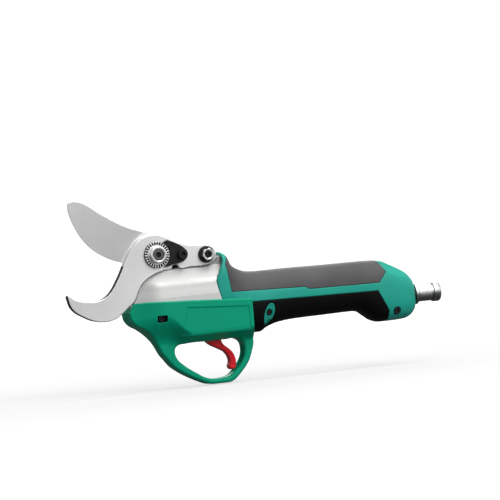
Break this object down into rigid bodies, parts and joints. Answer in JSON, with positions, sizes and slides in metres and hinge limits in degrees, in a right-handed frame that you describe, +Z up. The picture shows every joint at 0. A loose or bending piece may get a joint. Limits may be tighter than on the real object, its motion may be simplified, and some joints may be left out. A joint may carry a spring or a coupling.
{
  "type": "battery electric pruner",
  "caption": "Hand-held electric bypass pruner: curved blade and hook, ball-screw drive head, trigger in a finger loop, tubular grip and rear cable connector.",
  "frame": {"origin": "the middle of the tool's bounding box, in its middle plane; the blade's pivot axis is 76.5 mm in front of it and 27.57 mm above it", "axes": "+X towards the rear cable connector, +Z up, +Y to the tool's right-hand side; the blade swings about the Y axis"},
  "size_m": [0.3022, 0.0388, 0.147],
  "materials": {
    "blade_steel": "ground hardened steel with fine grinding marks",
    "hook_steel": "polished steel",
    "machined_steel": "machined",
    "cast_aluminium": "fine satin cast and painted silver",
    "black_steel": "black oxide",
    "bright_fastener": "zinc plated",
    "bronze": "sintered bronze",
    "green_plastic": "satin moulded nylon, slightly darker green",
    "teal_plastic": "satin moulded nylon",
    "grey_rubber": "soft matt over-moulding",
    "black_rubber": "soft matt over-moulding",
    "red_plastic": "semi-gloss moulded plastic",
    "black_plastic": "moulded",
    "circuit_board": "solder mask",
    "copper_winding": "enamelled copper wire",
    "magnet": "nickel plated"
  },
  "bodies": {
    "tool": {"counter_blade": "hook_steel", "pivot_bolt": "black_steel", "pivot_nut": "bright_fastener", "lock_plate": "black_steel", "lock_plate_screw": "black_steel", "rear_bolt": "black_steel", "rear_bolt_washer": "black_steel", "rear_bolt_nut": "bright_fastener", "head_cover": "cast_aluminium", "head_frame": "cast_aluminium", "grease_plug": "black_rubber", "screw_housing": "cast_aluminium", "screw_bearing": "machined_steel", "ring_gear": "machined_steel", "motor_front_bell": "cast_aluminium", "motor_can": "black_steel", "stator": "copper_winding", "motor_rear_bell": "cast_aluminium", "control_board": "circuit_board", "board_heatsink": "cast_aluminium", "bus_capacitor": "black_plastic", "battery_lead": "black_rubber", "motor_lead": "red_plastic", "connector_gasket": "black_rubber", "connector_body": "bright_fastener", "connector_lock_nut": "bright_fastener", "connector_insert": "black_plastic", "handle_shell_left": "teal_plastic", "handle_shell_right": "teal_plastic", "upper_grip_left": "grey_rubber", "upper_grip_right": "grey_rubber", "lower_grip_left": "black_rubber", "lower_grip_right": "black_rubber", "grip_screw_cup": "teal_plastic", "grip_screw": "black_steel", "end_screw": "black_steel", "guard_shell_left": "green_plastic", "guard_shell_right": "green_plastic", "guard_screw": "black_steel", "trigger_pin": "machined_steel", "trigger_spring": "machined_steel", "sensor_board": "circuit_board"},
    "blade": {"cutting_blade": "blade_steel", "pivot_bush": "bronze", "tail_pin": "machined_steel", "tail_roller_left": "bronze", "tail_roller_right": "bronze"},
    "fork": {"drive_fork": "machined_steel", "ball_nut": "machined_steel"},
    "screw": {"ball_screw": "machined_steel", "bearing_lock_nut": "black_steel", "planet_carrier": "machined_steel"},
    "planet_1": {"planet_gear_1": "machined_steel"},
    "planet_2": {"planet_gear_2": "machined_steel"},
    "planet_3": {"planet_gear_3": "machined_steel"},
    "rotor": {"motor_shaft": "machined_steel", "rotor_magnet": "magnet", "sun_gear": "machined_steel"},
    "trigger_lever": {"trigger": "red_plastic", "trigger_magnet": "magnet"}
  },
  "joints": [
    {"name": "motor_spin", "type": "hinge", "parent": "tool", "child": "rotor", "pos_m": [0.0535, 0, -0.01203], "axis": [-1, 0, 0], "range_deg": [0, 11448.66]},
    {"name": "screw_spin", "type": "hinge", "parent": "tool", "child": "screw", "pos_m": [-0.0165, 0, -0.01203], "axis": [-1, 0, 0], "range_deg": [0, 2453.29]},
    {"name": "fork_travel", "type": "slide", "parent": "tool", "child": "fork", "axis": [1, 0, 0], "range_m": [0, 0.03407]},
    {"name": "blade_pivot", "type": "hinge", "parent": "tool", "child": "blade", "pos_m": [-0.0765, 0, 0.02757], "axis": [0, -1, 0], "range_deg": [0, 50]},
    {"name": "planet_1_spin", "type": "hinge", "parent": "screw", "child": "planet_1", "pos_m": [0.0251, 0.00735, -0.01203], "axis": [-1, 0, 0], "range_deg": [-6746.53, 0]},
    {"name": "planet_2_spin", "type": "hinge", "parent": "screw", "child": "planet_2", "pos_m": [0.0251, -0.00367, -0.00566], "axis": [-1, 0, 0], "range_deg": [-6746.53, 0]},
    {"name": "planet_3_spin", "type": "hinge", "parent": "screw", "child": "planet_3", "pos_m": [0.0251, -0.00367, -0.0184], "axis": [-1, 0, 0], "range_deg": [-6746.53, 0]},
    {"name": "trigger_pull", "type": "hinge", "parent": "tool", "child": "trigger_lever", "pos_m": [-0.039, 0, -0.03393], "axis": [0, -1, 0], "range_deg": [0, 12], "stiffness_Nm_per_rad": 0.6, "springref_deg": -5.73, "deforming": ["trigger_spring"]}
  ],
  "couplings": [
    {"joint": "fork_travel", "follows": "blade_pivot", "m_per_rad": 0.039041},
    {"joint": "screw_spin", "follows": "blade_pivot", "ratio": 49.061},
    {"joint": "motor_spin", "follows": "blade_pivot", "ratio": 228.95},
    {"joint": "planet_1_spin", "follows": "blade_pivot", "ratio": -134.92},
    {"joint": "planet_2_spin", "follows": "blade_pivot", "ratio": -134.92},
    {"joint": "planet_3_spin", "follows": "blade_pivot", "ratio": -134.92}
  ]
}
